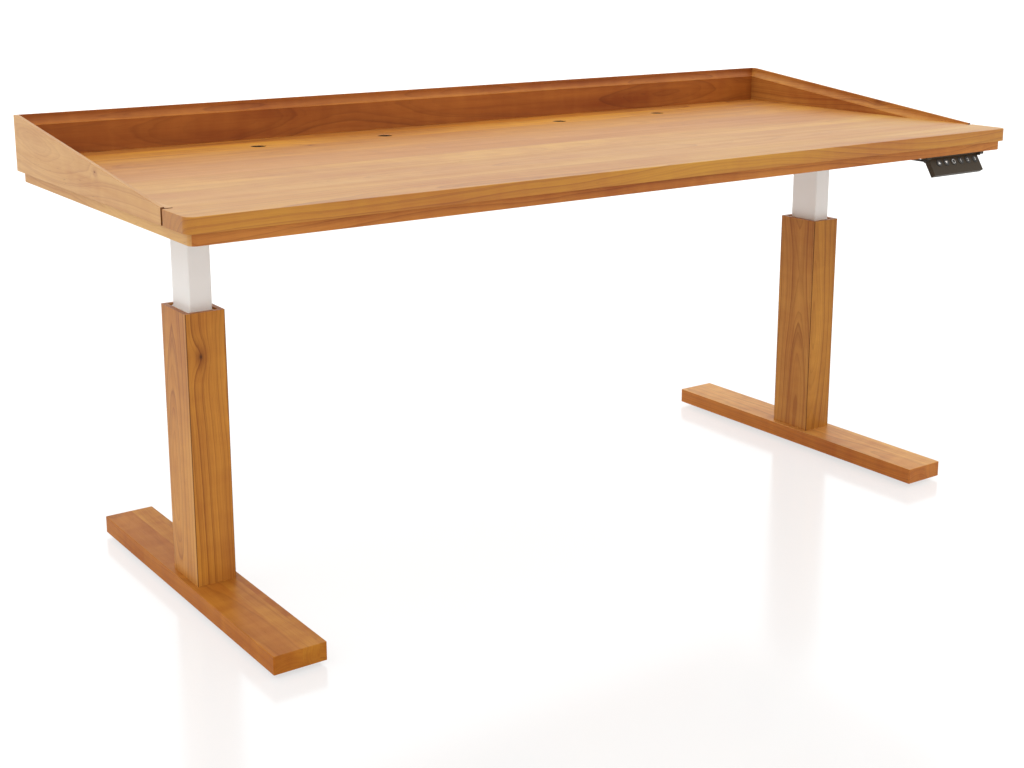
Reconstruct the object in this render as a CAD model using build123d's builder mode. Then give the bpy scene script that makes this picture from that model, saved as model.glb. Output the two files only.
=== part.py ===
from build123d import *

import os
from math import cos, radians, sin

# Height adjustable standing desk: a solid wood top with a low gallery round its sides and back, on two
# T-shaped legs. Each leg hides a three-stage lifting column inside a post of mitred boards.
# Millimetres, +Z up, -Y towards the sitter, origin on the floor under the middle of the desktop. The
# columns lift both stages together, and every piece lies where it is with the top at surface_height.

# Desktop
top_length = 1828.8
top_depth = 762.0
top_thick = 25.4
surface_height = 756.0
top_corner_radius = 17.0
arris = 1.2  # rounding of the handled edges of the boards

rail_thick = 19.05  # boards that double the edge of the top
rail_width = 70.0
rail_inset = 7.5
rail_corner_radius = 13.0

# Gallery
gallery_thick = 19.05
gallery_rise = 76.2
gallery_tip_rise = 1.8
gallery_setback = 94.0  # from the top's front edge to the gallery's front ends
gallery_front_gap = 6.35
cove_radius = 12.7  # of the cove along the gallery's inner top edge
cove_rise = 19.05  # from the cove's lower edge to the gallery's top
notch_radius = 6.35

# Cable holes
cable_hole_dia = 30.0
cable_hole_offset = 219.7  # from the middle of the pattern to the nearer hole on each side
cable_hole_pitch = 279.4
cable_hole_shift = 9.0
cable_hole_setback = 116.0  # from the top's back edge
cable_hole_ease = 1.5

# Legs
column_setback = 167.4  # from the top's ends to the columns' axes
column_y = 8.0
post_x = 72.0
post_y = 103.0
post_height = 488.0
post_wall = 9.0
foot_width = 95.0
foot_front = 365.0  # from the column's axis
foot_back = 364.0
foot_thick = 31.75
foot_lift = 8.25
foot_corner_radius = 2.0

# Levelling feet
leveler_setback = 45.0
leveler_pad_dia = 30.0
leveler_pad_thick = 4.0
leveler_stem_dia = 8.0
leveler_stem_length = 24.0
insert_dia = 12.0
insert_length = 18.0
leveler_hole_depth = 26.0
thread_fit = 0.05  # radial clearance of every thread and journal

# Lifting columns
inner_tube_x = 41.5
inner_tube_y = 72.5
tube_corner_radius = 3.0
tube_wall = 1.5
tube_gap = 1.4  # between one tube and the next
slide_fit = 0.3  # what the glides leave of that gap
stage_down = 50.0  # what each stage can still go down, and up
stage_up = 275.0
outer_tube_drop = 58.0  # from the post's top rim down to the outer tube's top
mid_rim_drop = 2.0
glide_depth = 40.0
glide_lip = 1.5
base_plate_thick = 4.0
base_plate_fit = 0.5
head_plate_thick = 3.0
head_plate_hole_dia = 14.0
plate_corner_radius = 2.5

# Screws of the lift
fixed_screw_dia = 16.0
fixed_screw_bore = 9.6
hollow_screw_dia = 24.0
hollow_screw_relief = 17.4
hollow_nut_length = 40.0
thrust_collar_dia = 34.0
thrust_collar_thick = 4.0
thrust_gap = 0.3
mid_floor_thick = 8.0
lift_nut_length = 25.0
drive_rod_flats = 7.0
drive_rod_fit = 0.2
drive_rod_tail = 25.0  # left below the bush when the desk is fully raised
drive_bush_length = 20.0
stop_gap = 4.0  # left between two pieces of the lift at the end of their travel

# Steel frame under the top
bracket_width = 70.0
bracket_end_gap = 15.5  # from the back rail to the bracket's back end
bracket_thick = 3.0
bracket_drop = 30.0
gearbox_x = 60.0
gearbox_y = 80.0
gearbox_height = 38.0
gearbox_journal_depth = 22.0
motor_dia = 50.0
motor_length = 120.0
motor_cap_length = 12.0
motor_cap_step = 2.0
motor_gap = 1.2  # between a motor and the bracket over it
beam_width = 30.0
beam_height = 25.0
beam_wall = 2.0
beam_corner_radius = 4.0
beam_offset = 90.0  # from the columns' axis to each crossbeam
beam_drop = 8.0  # room above the crossbeams for the leads

# Control box
box_length = 260.0
box_depth = 100.0
box_height = 32.0
box_wall = 2.5
box_setback = 256.0  # from the top's back edge to the box's front face
box_ear = 16.0
box_corner_radius = 5.0
inlet_width = 25.0
inlet_height = 17.0
inlet_depth = 14.0
inlet_blade_width = 2.0
inlet_blade_height = 4.0
inlet_blade_offset = 7.0
inlet_blade_drop = 2.0
inlet_blade_setback = 4.0

# Handset
handset_length = 152.0
handset_end_gap = 68.4  # from the top's right end to the handset
handset_face = 37.0
handset_tilt = 32.0  # degrees of the face from upright
handset_front_gap = 0.7  # from the front edge of the top back to the handset's lower lip
handset_back = 42.0  # from the front edge of the top to the back of the handset's cover
handset_wall = 2.5
handset_cover_thick = 2.5
handset_ear_length = 12.0
handset_ear_depth = 16.0
handset_ear_thick = 6.0
handset_ear_setback = 20.7  # from the front edge of the top to the ears' middle
button_count = 6
button_pitch = 22.5
button_first = 26.5  # from the handset's left end to the first button
button_rise = 7.0  # above the middle of the face
button_dia = 14.8
button_hole_gap = 0.4
button_proud = 0.8
button_flange = 1.4
button_flange_thick = 1.2
button_travel = 1.0
button_fit = 0.3
button_stem_dia = 7.0
board_thick = 1.6
board_height = 18.0
board_length = 138.0
board_post_dia = 4.0
board_gap = 0.8  # between the circuit board and the housing's back wall

# Leads and screws
lead_dia = 4.5
lead_drop = 4.5  # from the underside of the top to a lead's middle
lead_bend = 10.0
lead_tail = 20.0  # straight length of a lead before it enters a port
lead_ramp = 20.0
motor_lead_ramp = 40.0
handset_lead_ramp = 30.0
port_drop = 17.0
motor_lead_row = 75.0  # from the box's front face to where the motors' leads enter
handset_lead_row = 35.0
handset_lead_height = 11.5  # from the rail down to where the handset's lead leaves
strain_relief_dia = 8.0
strain_relief_length = 7.0
lead_notch_width = 18.0
lead_notch_room = 9.0
handset_lead_gap = 9.0  # from the bracket to the handset's lead
clip_length = 12.0
clip_width = 14.0
clip_wall = 2.0
motor_clip_shares = (0.3, 0.55, 0.8)  # of the way from the middle to the column
handset_clip_shares = (0.3, 0.6)
handset_clip_front = 180.0  # from the column's axis
handset_clip_back = 36.0
wood_screw_dia = 4.0
wood_screw_length = 18.0
wood_screw_fit = 0.1
wood_screw_head_dia = 9.0
wood_screw_head = 3.0
wood_screw_tip_gap = 1.2
bracket_screw_offset = 20.0
bracket_screw_end = 22.0  # from the bracket's ends to its outer screws
bracket_screw_front = 118.0  # from the column's axis to the inner screws
bracket_screw_back = 187.0
bolt_dia = 8.0
bolt_fit = 0.2
bolt_head_dia = 13.0
bolt_head = 8.0
bolt_counterbore_dia = 16.0
bolt_counterbore = 9.0
bolt_end_gap = 0.3
bolt_offset_x = 15.0
bolt_offset_y = 28.0

# Heights and edges that follow
half_length = top_length / 2
half_depth = top_depth / 2
column_x = half_length - column_setback
handset_x = half_length - handset_end_gap - handset_length / 2
underside = surface_height - top_thick
box_front = half_depth - box_setback
rail_bottom = underside - rail_thick
gallery_top = surface_height + gallery_rise
gallery_front = -half_depth + gallery_setback
notch_front = gallery_front - gallery_front_gap
inner_edge_x = half_length - gallery_thick
inner_edge_y = half_depth - gallery_thick
foot_top = foot_lift + foot_thick
post_top = foot_top + post_height
bracket_plate = underside - bracket_thick
sides = (("left", -1), ("right", 1))

os.makedirs("parts", exist_ok=True)


def save(piece, name):
    """Labels a finished piece and writes it under its node's name."""
    piece.part.label = name
    export_step(piece.part, f"parts/{name}.step")


# ---------------------------------------------------------------- desktop boards

cable_hole_spots = [
    (cable_hole_shift + side * (cable_hole_offset + step * cable_hole_pitch), half_depth - cable_hole_setback)
    for side in (-1, 1)
    for step in (0, 1)
]
rail_x = half_length - rail_inset
rail_y = half_depth - rail_inset
rail_inner_x = rail_x - rail_width
rail_inner_y = rail_y - rail_width
bracket_length = 2 * (rail_inner_y - bracket_end_gap - column_y)
bracket_screw_row = bracket_length / 2 - bracket_screw_end
bracket_screw_rows = (-bracket_screw_row, -bracket_screw_front, bracket_screw_back, bracket_screw_row)
bracket_screw_spots = [
    (side * column_x + offset, column_y + row)
    for side in (-1, 1)
    for offset in (-bracket_screw_offset, bracket_screw_offset)
    for row in bracket_screw_rows
]
box_screw_x = (box_length + box_ear) / 2
box_middle_y = box_front + box_depth / 2
box_screw_spots = [
    (x, box_middle_y + y)
    for x in (-box_screw_x, box_screw_x)
    for y in (-box_depth / 2 + box_ear / 2, box_depth / 2 - box_ear / 2)
]
pilot_radius = wood_screw_dia / 2 + wood_screw_fit

with BuildPart() as top_board:
    with BuildSketch(Plane.XY.offset(underside)) as board_outline:
        with BuildLine():
            Polyline(
                (-half_length, -half_depth),
                (half_length, -half_depth),
                (half_length, notch_front),
                (inner_edge_x, notch_front),
                (inner_edge_x, inner_edge_y),
                (-inner_edge_x, inner_edge_y),
                (-inner_edge_x, notch_front),
                (-half_length, notch_front),
                close=True,
            )
        make_face()
        notch_corners = board_outline.vertices().group_by(Axis.Y)[1].sort_by(Axis.X)
        fillet(notch_corners[1:3], notch_radius)
        fillet(board_outline.vertices().group_by(Axis.Y)[0], top_corner_radius)
        with Locations(*cable_hole_spots):
            Circle(cable_hole_dia / 2, mode=Mode.SUBTRACT)
    extrude(amount=top_thick)
    surface_edges = top_board.edges().group_by(Axis.Z)[-1]
    fillet(surface_edges.filter_by(lambda edge: edge.center().Y < notch_front - arris), arris)
    hole_rims = top_board.edges().group_by(Axis.Z)[-1].filter_by(GeomType.CIRCLE)
    fillet(hole_rims.filter_by(lambda rim: rim.arc_center.Y > 0), cable_hole_ease)
    with BuildSketch(Plane.XY.offset(underside)):
        with Locations(*bracket_screw_spots, *box_screw_spots):
            Circle(pilot_radius)
    extrude(amount=wood_screw_length, mode=Mode.SUBTRACT)
save(top_board, "top_board")

# Four boards, mitred at the corners, double the edge of the top from below.
handset_left = handset_x - handset_length / 2
handset_right = handset_x + handset_length / 2
handset_back_y = -half_depth + handset_back
ear_y = -half_depth + handset_ear_setback
ear_spots = [
    (handset_left - handset_ear_length / 2, ear_y),
    (handset_right + handset_ear_length / 2, ear_y),
]
rail_outer = [(-rail_x, -rail_y), (rail_x, -rail_y), (rail_x, rail_y), (-rail_x, rail_y)]
rail_inner = [
    (-rail_inner_x, -rail_inner_y),
    (rail_inner_x, -rail_inner_y),
    (rail_inner_x, rail_inner_y),
    (-rail_inner_x, rail_inner_y),
]
rail_screw_length = rail_thick - wood_screw_tip_gap


def on_rail_outline(edge):
    """Tells the edges that lie on the rails' rounded outside from the mitres and the inner edges."""
    inwards = min(rail_x - abs(edge.center().X), rail_y - abs(edge.center().Y))
    return inwards < rail_corner_radius


for start, rail_name in enumerate(("front_rail", "right_rail", "back_rail", "left_rail")):
    end = (start + 1) % 4
    corners = (rail_outer[start], rail_outer[end], rail_inner[end], rail_inner[start])
    with BuildPart() as rail:
        with BuildSketch(Plane.XY.offset(rail_bottom)):
            RectangleRounded(2 * rail_x, 2 * rail_y, rail_corner_radius)
            Rectangle(2 * rail_inner_x, 2 * rail_inner_y, mode=Mode.SUBTRACT)
            with BuildLine():
                Polyline(*corners, close=True)
            make_face(mode=Mode.INTERSECT)
        extrude(amount=rail_thick)
        lower_edges = rail.edges().group_by(Axis.Z)[0]
        fillet(lower_edges.filter_by(on_rail_outline), arris)
        if rail_name == "front_rail":
            with BuildSketch(Plane.XY.offset(rail_bottom)):
                with Locations(*ear_spots):
                    Circle(pilot_radius)
            extrude(amount=rail_screw_length, mode=Mode.SUBTRACT)
    save(rail, rail_name)

# The gallery boards stand in notches in the top, flush with its outer edges and its underside. A cove
# runs along their inner top edges, and on the side boards it stops at the top's surface.


def draw_cove():
    """Draws the cove's cutter where the sketch stands: out over the board in x, up in y."""
    with Locations((0, cove_radius - cove_rise)):
        Circle(cove_radius)
        Rectangle(cove_radius, cove_rise, align=Align.MIN)


with BuildPart() as back_gallery:
    with BuildSketch(Plane.XY.offset(underside)):
        with BuildLine():
            Polyline(
                (-half_length, half_depth),
                (half_length, half_depth),
                (inner_edge_x, inner_edge_y),
                (-inner_edge_x, inner_edge_y),
                close=True,
            )
        make_face()
    extrude(amount=gallery_top - underside)
    with BuildSketch(Plane((0, inner_edge_y, gallery_top), x_dir=(0, 1, 0), z_dir=(1, 0, 0))):
        draw_cove()
    extrude(amount=half_length, both=True, mode=Mode.SUBTRACT)
    outer_top_edge = back_gallery.edges().filter_by(Axis.X).group_by(Axis.Z)[-1].sort_by(Axis.Y)[-1]
    fillet(outer_top_edge, arris)
save(back_gallery, "back_gallery")

gallery_slope = (0, inner_edge_y - gallery_front, gallery_rise - gallery_tip_rise)
for side_name, side in sides:
    outer_face = Plane((side * half_length, 0, 0), x_dir=(0, 1, 0), z_dir=(1, 0, 0))
    with BuildPart() as side_gallery:
        with BuildSketch(outer_face):
            with BuildLine():
                Polyline(
                    (gallery_front, surface_height),
                    (half_depth + gallery_thick, surface_height),
                    (half_depth + gallery_thick, gallery_top),
                    (inner_edge_y, gallery_top),
                    (gallery_front, surface_height + gallery_tip_rise),
                    close=True,
                )
            make_face()
        extrude(amount=-side * gallery_thick)
        for run in (gallery_slope, (0, 1, 0)):
            cove_way = tuple(-side * part for part in run)
            corner = (side * inner_edge_x, inner_edge_y, gallery_top)
            with BuildSketch(Plane(corner, x_dir=(side, 0, 0), z_dir=cove_way)):
                draw_cove()
            extrude(amount=top_depth, both=True, mode=Mode.SUBTRACT)
        with BuildSketch(outer_face):
            with Locations((gallery_front, underside)):
                Rectangle(half_depth + gallery_thick - gallery_front, top_thick, align=Align.MIN)
        extrude(amount=-side * gallery_thick)
        outer_edges = side_gallery.faces().sort_by(Axis.X)[0 if side < 0 else -1].edges()
        level_edges = outer_edges.filter_by(Axis.Z, reverse=True)
        fillet(level_edges.filter_by(lambda edge: edge.center().Z > surface_height), arris)
        mitre = Plane((side * half_length, half_depth, 0), x_dir=(side, 1, 0), z_dir=(side, -1, 0))
        split(bisect_by=mitre, keep=Keep.TOP)
    save(side_gallery, f"{side_name}_gallery")

# ---------------------------------------------------------------- feet, levelling feet and posts

leveler_rows = {
    "front": column_y - foot_front + leveler_setback,
    "back": column_y + foot_back - leveler_setback,
}
insert_spots = [(side * column_x, row) for side in (-1, 1) for row in leveler_rows.values()]
foot_middle_y = column_y + (foot_back - foot_front) / 2
bolt_spots = {
    side: [
        (side * column_x + x, column_y + y)
        for x in (-bolt_offset_x, bolt_offset_x)
        for y in (-bolt_offset_y, bolt_offset_y)
    ]
    for side in (-1, 1)
}

for side_name, side in sides:
    with BuildPart() as foot:
        with BuildSketch(Plane.XY.offset(foot_lift)):
            with Locations((side * column_x, foot_middle_y)):
                RectangleRounded(foot_width, foot_front + foot_back, foot_corner_radius)
        extrude(amount=foot_thick)
        fillet(foot.edges().group_by(Axis.Z)[-1], arris)
        with BuildSketch(Plane.XY.offset(foot_lift)):
            with Locations(*[(side * column_x, row) for row in leveler_rows.values()]):
                Circle(insert_dia / 2)
        extrude(amount=leveler_hole_depth, mode=Mode.SUBTRACT)
        with BuildSketch(Plane.XY.offset(foot_lift)):
            with Locations(*bolt_spots[side]):
                Circle(bolt_counterbore_dia / 2)
        extrude(amount=bolt_counterbore, mode=Mode.SUBTRACT)
        with BuildSketch(Plane.XY.offset(foot_lift)):
            with Locations(*bolt_spots[side]):
                Circle(bolt_dia / 2 + bolt_fit)
        extrude(amount=foot_thick, mode=Mode.SUBTRACT)
    save(foot, f"{side_name}_foot")

    for row_name, row in leveler_rows.items():
        with BuildPart() as leveler:
            with BuildSketch(Plane.XY):
                with Locations((side * column_x, row)):
                    Circle(leveler_pad_dia / 2)
            extrude(amount=leveler_pad_thick)
            chamfer(leveler.edges().group_by(Axis.Z)[-1], arris)
            with BuildSketch(Plane.XY.offset(leveler_pad_thick)):
                with Locations((side * column_x, row)):
                    Circle(leveler_stem_dia / 2)
            extrude(amount=leveler_stem_length)
        save(leveler, f"{side_name}_{row_name}_leveler")

with BuildPart() as leveler_inserts:
    with BuildSketch(Plane.XY.offset(foot_lift)):
        with Locations(*insert_spots):
            Circle(insert_dia / 2)
            Circle(leveler_stem_dia / 2 + thread_fit, mode=Mode.SUBTRACT)
    extrude(amount=insert_length)
save(leveler_inserts, "leveler_inserts")

post_inner_x = post_x - 2 * post_wall
post_inner_y = post_y - 2 * post_wall
for side_name, side in sides:
    x_out, x_in = post_x / 2, post_inner_x / 2
    y_out, y_in = post_y / 2, post_inner_y / 2
    post_boards = {
        "front": ((-x_out, -y_out), (x_out, -y_out), (x_in, -y_in), (-x_in, -y_in)),
        "back": ((-x_out, y_out), (x_out, y_out), (x_in, y_in), (-x_in, y_in)),
        "outer": ((side * x_out, -y_out), (side * x_out, y_out), (side * x_in, y_in), (side * x_in, -y_in)),
        "inner": (
            (-side * x_out, -y_out),
            (-side * x_out, y_out),
            (-side * x_in, y_in),
            (-side * x_in, -y_in),
        ),
    }
    for board_name, corners in post_boards.items():
        with BuildPart() as post_board:
            with BuildSketch(Plane((side * column_x, column_y, foot_top))):
                RectangleRounded(post_x, post_y, arris)
                with BuildLine():
                    Polyline(*corners, close=True)
                make_face(mode=Mode.INTERSECT)
            extrude(amount=post_height)
        save(post_board, f"{side_name}_post_{board_name}")

# ---------------------------------------------------------------- lifting columns

# Each stage's tube follows from the one inside it, a wall and a gap larger all round.
stage_step = 2 * (tube_gap + tube_wall)
mid_tube_x = inner_tube_x + stage_step
mid_tube_y = inner_tube_y + stage_step
outer_tube_x = mid_tube_x + stage_step
outer_tube_y = mid_tube_y + stage_step
mid_corner = tube_corner_radius + tube_gap + tube_wall
outer_corner = mid_corner + tube_gap + tube_wall
glide_thick = tube_gap - slide_fit

plate_top = foot_top + base_plate_thick
outer_top = post_top - outer_tube_drop
mid_bottom = plate_top + stage_down + thrust_collar_thick + stop_gap
mid_top = post_top - mid_rim_drop - glide_lip
inner_bottom = mid_bottom + mid_floor_thick + stage_down + stop_gap * 2
head_plate_top = bracket_plate - gearbox_height
inner_top = head_plate_top - head_plate_thick
hollow_bottom = mid_bottom - thrust_gap - thrust_collar_thick
bush_bottom = mid_top - glide_depth - stop_gap
bush_top = bush_bottom + drive_bush_length
fixed_screw_top = bush_bottom - stage_down - stop_gap
drive_rod_bottom = bush_top - stage_up - drive_bush_length - drive_rod_tail

spots = {side_name: (side * column_x, column_y) for side_name, side in sides}


def tube_ring(size_x, size_y, corner, wall):
    """Draws a rounded rectangular ring, wall thick inwards, where the sketch's location stands."""
    RectangleRounded(size_x, size_y, corner)
    RectangleRounded(size_x - 2 * wall, size_y - 2 * wall, corner - wall, mode=Mode.SUBTRACT)


mid_bore_x = mid_tube_x - 2 * tube_wall
mid_bore_y = mid_tube_y - 2 * tube_wall
outer_bore_x = outer_tube_x - 2 * tube_wall
outer_bore_y = outer_tube_y - 2 * tube_wall
rim_wall = tube_wall + glide_thick
base_plate_x = post_inner_x - 2 * base_plate_fit
base_plate_y = post_inner_y - 2 * base_plate_fit

for side_name, side in sides:
    spot = spots[side_name]

    # Fixed stage: the outer tube, welded to the plate that is bolted on the foot.
    with BuildPart() as outer_tube:
        with BuildSketch(Plane((*spot, foot_top))):
            RectangleRounded(base_plate_x, base_plate_y, plate_corner_radius)
        extrude(amount=base_plate_thick)
        with BuildSketch(Plane.XY.offset(foot_top)):
            with Locations(*bolt_spots[side]):
                Circle(bolt_dia / 2 + thread_fit)
        extrude(amount=base_plate_thick, mode=Mode.SUBTRACT)
        with BuildSketch(Plane((*spot, plate_top))):
            tube_ring(outer_tube_x, outer_tube_y, outer_corner, tube_wall)
        extrude(amount=outer_top - plate_top)
    save(outer_tube, f"{side_name}_outer_tube")

    # Middle stage: a tube whose floor rides on the collar of the hollow screw.
    with BuildPart() as mid_tube:
        with BuildSketch(Plane((*spot, mid_bottom))):
            RectangleRounded(mid_tube_x, mid_tube_y, mid_corner)
            Circle(hollow_screw_dia / 2 + thread_fit, mode=Mode.SUBTRACT)
        extrude(amount=mid_floor_thick)
        with BuildSketch(Plane((*spot, mid_bottom + mid_floor_thick))):
            tube_ring(mid_tube_x, mid_tube_y, mid_corner, tube_wall)
        extrude(amount=mid_top - mid_bottom - mid_floor_thick)
    save(mid_tube, f"{side_name}_mid_tube")

    # Upper stage: the white tube that shows, with the plate that carries the gearbox.
    with BuildPart() as inner_tube:
        with BuildSketch(Plane((*spot, inner_bottom))):
            tube_ring(inner_tube_x, inner_tube_y, tube_corner_radius, tube_wall)
        extrude(amount=inner_top - inner_bottom)
        with BuildSketch(Plane((*spot, inner_top))):
            RectangleRounded(gearbox_x, gearbox_y, plate_corner_radius)
            Circle(head_plate_hole_dia / 2, mode=Mode.SUBTRACT)
        extrude(amount=head_plate_thick)
    save(inner_tube, f"{side_name}_inner_tube")

    # The hollow screw turns in the middle stage. Its bore climbs the fixed screw, its left-hand outer
    # thread lifts the inner tube's nut, and the hexagonal bush at its top lets the drive rod slide.
    with BuildPart() as hollow_screw:
        with BuildSketch(Plane((*spot, hollow_bottom))):
            Circle(thrust_collar_dia / 2)
        extrude(amount=thrust_collar_thick)
        with BuildSketch(Plane((*spot, hollow_bottom))):
            Circle(hollow_screw_dia / 2)
        extrude(amount=bush_top - hollow_bottom)
        with BuildSketch(Plane((*spot, hollow_bottom))):
            Circle(fixed_screw_dia / 2 + thread_fit)
        extrude(amount=hollow_nut_length, mode=Mode.SUBTRACT)
        with BuildSketch(Plane((*spot, hollow_bottom + hollow_nut_length))):
            Circle(hollow_screw_relief / 2)
        extrude(amount=bush_bottom - hollow_bottom - hollow_nut_length, mode=Mode.SUBTRACT)
        with BuildSketch(Plane((*spot, bush_bottom))):
            RegularPolygon(drive_rod_flats / 2 + drive_rod_fit, 6, major_radius=False)
        extrude(amount=drive_bush_length, mode=Mode.SUBTRACT)
    save(hollow_screw, f"{side_name}_hollow_screw")

    with BuildPart() as drive_rod:
        with BuildSketch(Plane((*spot, drive_rod_bottom))):
            RegularPolygon(drive_rod_flats / 2, 6, major_radius=False)
        extrude(amount=head_plate_top - drive_rod_bottom)
        with BuildSketch(Plane((*spot, head_plate_top))):
            Circle(drive_rod_flats / 2)
        extrude(amount=gearbox_journal_depth)
    save(drive_rod, f"{side_name}_drive_rod")

    # The glide at the middle tube's top shows as a thin rim round the inner tube.
    with BuildPart() as mid_glide:
        with BuildSketch(Plane((*spot, mid_top - glide_depth))):
            tube_ring(mid_bore_x, mid_bore_y, mid_corner - tube_wall, glide_thick)
        extrude(amount=glide_depth)
        with BuildSketch(Plane((*spot, mid_top))):
            tube_ring(mid_tube_x, mid_tube_y, mid_corner, rim_wall)
        extrude(amount=glide_lip)
    save(mid_glide, f"{side_name}_mid_glide")

with BuildPart() as outer_glides:
    with BuildSketch(Plane.XY.offset(outer_top - glide_depth)):
        with Locations(*spots.values()):
            tube_ring(outer_bore_x, outer_bore_y, outer_corner - tube_wall, glide_thick)
    extrude(amount=glide_depth)
    with BuildSketch(Plane.XY.offset(outer_top)):
        with Locations(*spots.values()):
            tube_ring(outer_tube_x, outer_tube_y, outer_corner, rim_wall)
    extrude(amount=glide_lip)
save(outer_glides, "outer_glides")

with BuildPart() as fixed_screws:
    with BuildSketch(Plane.XY.offset(plate_top)):
        with Locations(*spots.values()):
            Circle(fixed_screw_dia / 2)
            Circle(fixed_screw_bore / 2, mode=Mode.SUBTRACT)
    extrude(amount=fixed_screw_top - plate_top)
save(fixed_screws, "fixed_screws")

inner_bore_x = inner_tube_x - 2 * tube_wall
inner_bore_y = inner_tube_y - 2 * tube_wall
with BuildPart() as lift_nuts:
    with BuildSketch(Plane.XY.offset(inner_bottom)):
        with Locations(*spots.values()):
            RectangleRounded(inner_bore_x, inner_bore_y, tube_corner_radius - tube_wall)
            Circle(hollow_screw_dia / 2 + thread_fit, mode=Mode.SUBTRACT)
    extrude(amount=lift_nut_length)
save(lift_nuts, "lift_nuts")

# ---------------------------------------------------------------- frame and drives under the top

motor_axis_z = bracket_plate - motor_dia / 2 - motor_gap
motor_front = column_y + gearbox_y / 2
motor_back = motor_front + motor_length
lead_row = box_front + motor_lead_row

with BuildPart() as gearboxes:
    with BuildSketch(Plane.XY.offset(head_plate_top)):
        with Locations(*spots.values()):
            Rectangle(gearbox_x, gearbox_y)
    extrude(amount=bracket_plate - head_plate_top)
    fillet(gearboxes.edges().filter_by(Axis.Z), plate_corner_radius)
    with BuildSketch(Plane.XY.offset(head_plate_top)):
        with Locations(*spots.values()):
            Circle(drive_rod_flats / 2 + thread_fit)
    extrude(amount=gearbox_journal_depth + stop_gap, mode=Mode.SUBTRACT)
save(gearboxes, "gearboxes")

with BuildPart() as motors:
    for spot in spots.values():
        with BuildSketch(Plane((spot[0], motor_front, motor_axis_z), x_dir=(1, 0, 0), z_dir=(0, 1, 0))):
            Circle(motor_dia / 2)
        extrude(amount=motor_length - motor_cap_length)
        with BuildSketch(Plane((spot[0], motor_back, motor_axis_z), x_dir=(1, 0, 0), z_dir=(0, 1, 0))):
            Circle(motor_dia / 2 - motor_cap_step)
        extrude(amount=-motor_cap_length)
save(motors, "motors")

for side_name, side in sides:
    middle = side * column_x
    inner_flange = middle - side * (bracket_width - bracket_thick) / 2
    own_screw_spots = [(x, y) for x, y in bracket_screw_spots if x * side > 0]
    with BuildPart() as side_bracket:
        with BuildSketch(Plane((middle, column_y, bracket_plate))):
            Rectangle(bracket_width, bracket_length)
        extrude(amount=bracket_thick)
        with BuildSketch(Plane.XY.offset(bracket_plate)):
            with Locations(*own_screw_spots):
                Circle(pilot_radius)
        extrude(amount=bracket_thick, mode=Mode.SUBTRACT)
        with BuildSketch(Plane((middle, column_y, bracket_plate))):
            with GridLocations(bracket_width - bracket_thick, 0, 2, 1):
                Rectangle(bracket_thick, bracket_length)
        extrude(amount=-bracket_drop)
        with BuildSketch(Plane((inner_flange, lead_row, bracket_plate - bracket_drop))):
            Rectangle(2 * bracket_thick, lead_notch_width)
        extrude(amount=motor_axis_z + lead_notch_room - bracket_plate + bracket_drop, mode=Mode.SUBTRACT)
    save(side_bracket, f"{side_name}_side_bracket")

beam_length = 2 * column_x - bracket_width
beam_middle_z = underside - beam_drop - beam_height / 2
for beam_name, beam_y in (("front", column_y - beam_offset), ("rear", column_y + beam_offset)):
    with BuildPart() as crossbeam:
        with BuildSketch(Plane((-beam_length / 2, beam_y, beam_middle_z), x_dir=(0, 1, 0), z_dir=(1, 0, 0))):
            tube_ring(beam_width, beam_height, beam_corner_radius, beam_wall)
        extrude(amount=beam_length)
    save(crossbeam, f"{beam_name}_crossbeam")

# ---------------------------------------------------------------- control box

box_lid_bottom = underside - box_wall
box_bottom = underside - box_height
port_z = underside - port_drop
box_back = box_front + box_depth
inlet_plane = Plane((0, box_back, box_bottom + box_height / 2), x_dir=(-1, 0, 0), z_dir=(0, 1, 0))
inlet_blade_spots = [
    (-inlet_blade_offset, -inlet_blade_drop),
    (0, inlet_blade_drop),
    (inlet_blade_offset, -inlet_blade_drop),
]

with BuildPart() as control_box_case:
    with BuildSketch(Plane((0, box_middle_y, box_bottom))):
        RectangleRounded(box_length, box_depth, box_corner_radius)
    extrude(amount=box_lid_bottom - box_bottom)
    case_top = control_box_case.faces().sort_by(Axis.Z)[-1]
    offset(amount=-box_wall, openings=case_top)
    # The power inlet: a deep socket with three blades, in a block on the inside of the back wall.
    with BuildSketch(inlet_plane):
        Rectangle(inlet_width + 2 * box_wall, inlet_height + 2 * box_wall)
    extrude(amount=-inlet_depth - box_wall)
    with BuildSketch(inlet_plane):
        Rectangle(inlet_width, inlet_height)
    extrude(amount=-inlet_depth, mode=Mode.SUBTRACT)
    with BuildSketch(inlet_plane.offset(-inlet_depth)):
        with Locations(*inlet_blade_spots):
            Rectangle(inlet_blade_width, inlet_blade_height)
    extrude(amount=inlet_depth - inlet_blade_setback)
save(control_box_case, "control_box_case")

with BuildPart() as control_box_lid:
    with BuildSketch(Plane((0, box_middle_y, box_lid_bottom))):
        RectangleRounded(box_length + 2 * box_ear, box_depth, box_corner_radius)
    extrude(amount=box_wall)
    with BuildSketch(Plane.XY.offset(box_lid_bottom)):
        with Locations(*box_screw_spots):
            Circle(pilot_radius)
    extrude(amount=box_wall, mode=Mode.SUBTRACT)
save(control_box_lid, "control_box_lid")

# ---------------------------------------------------------------- handset

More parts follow.
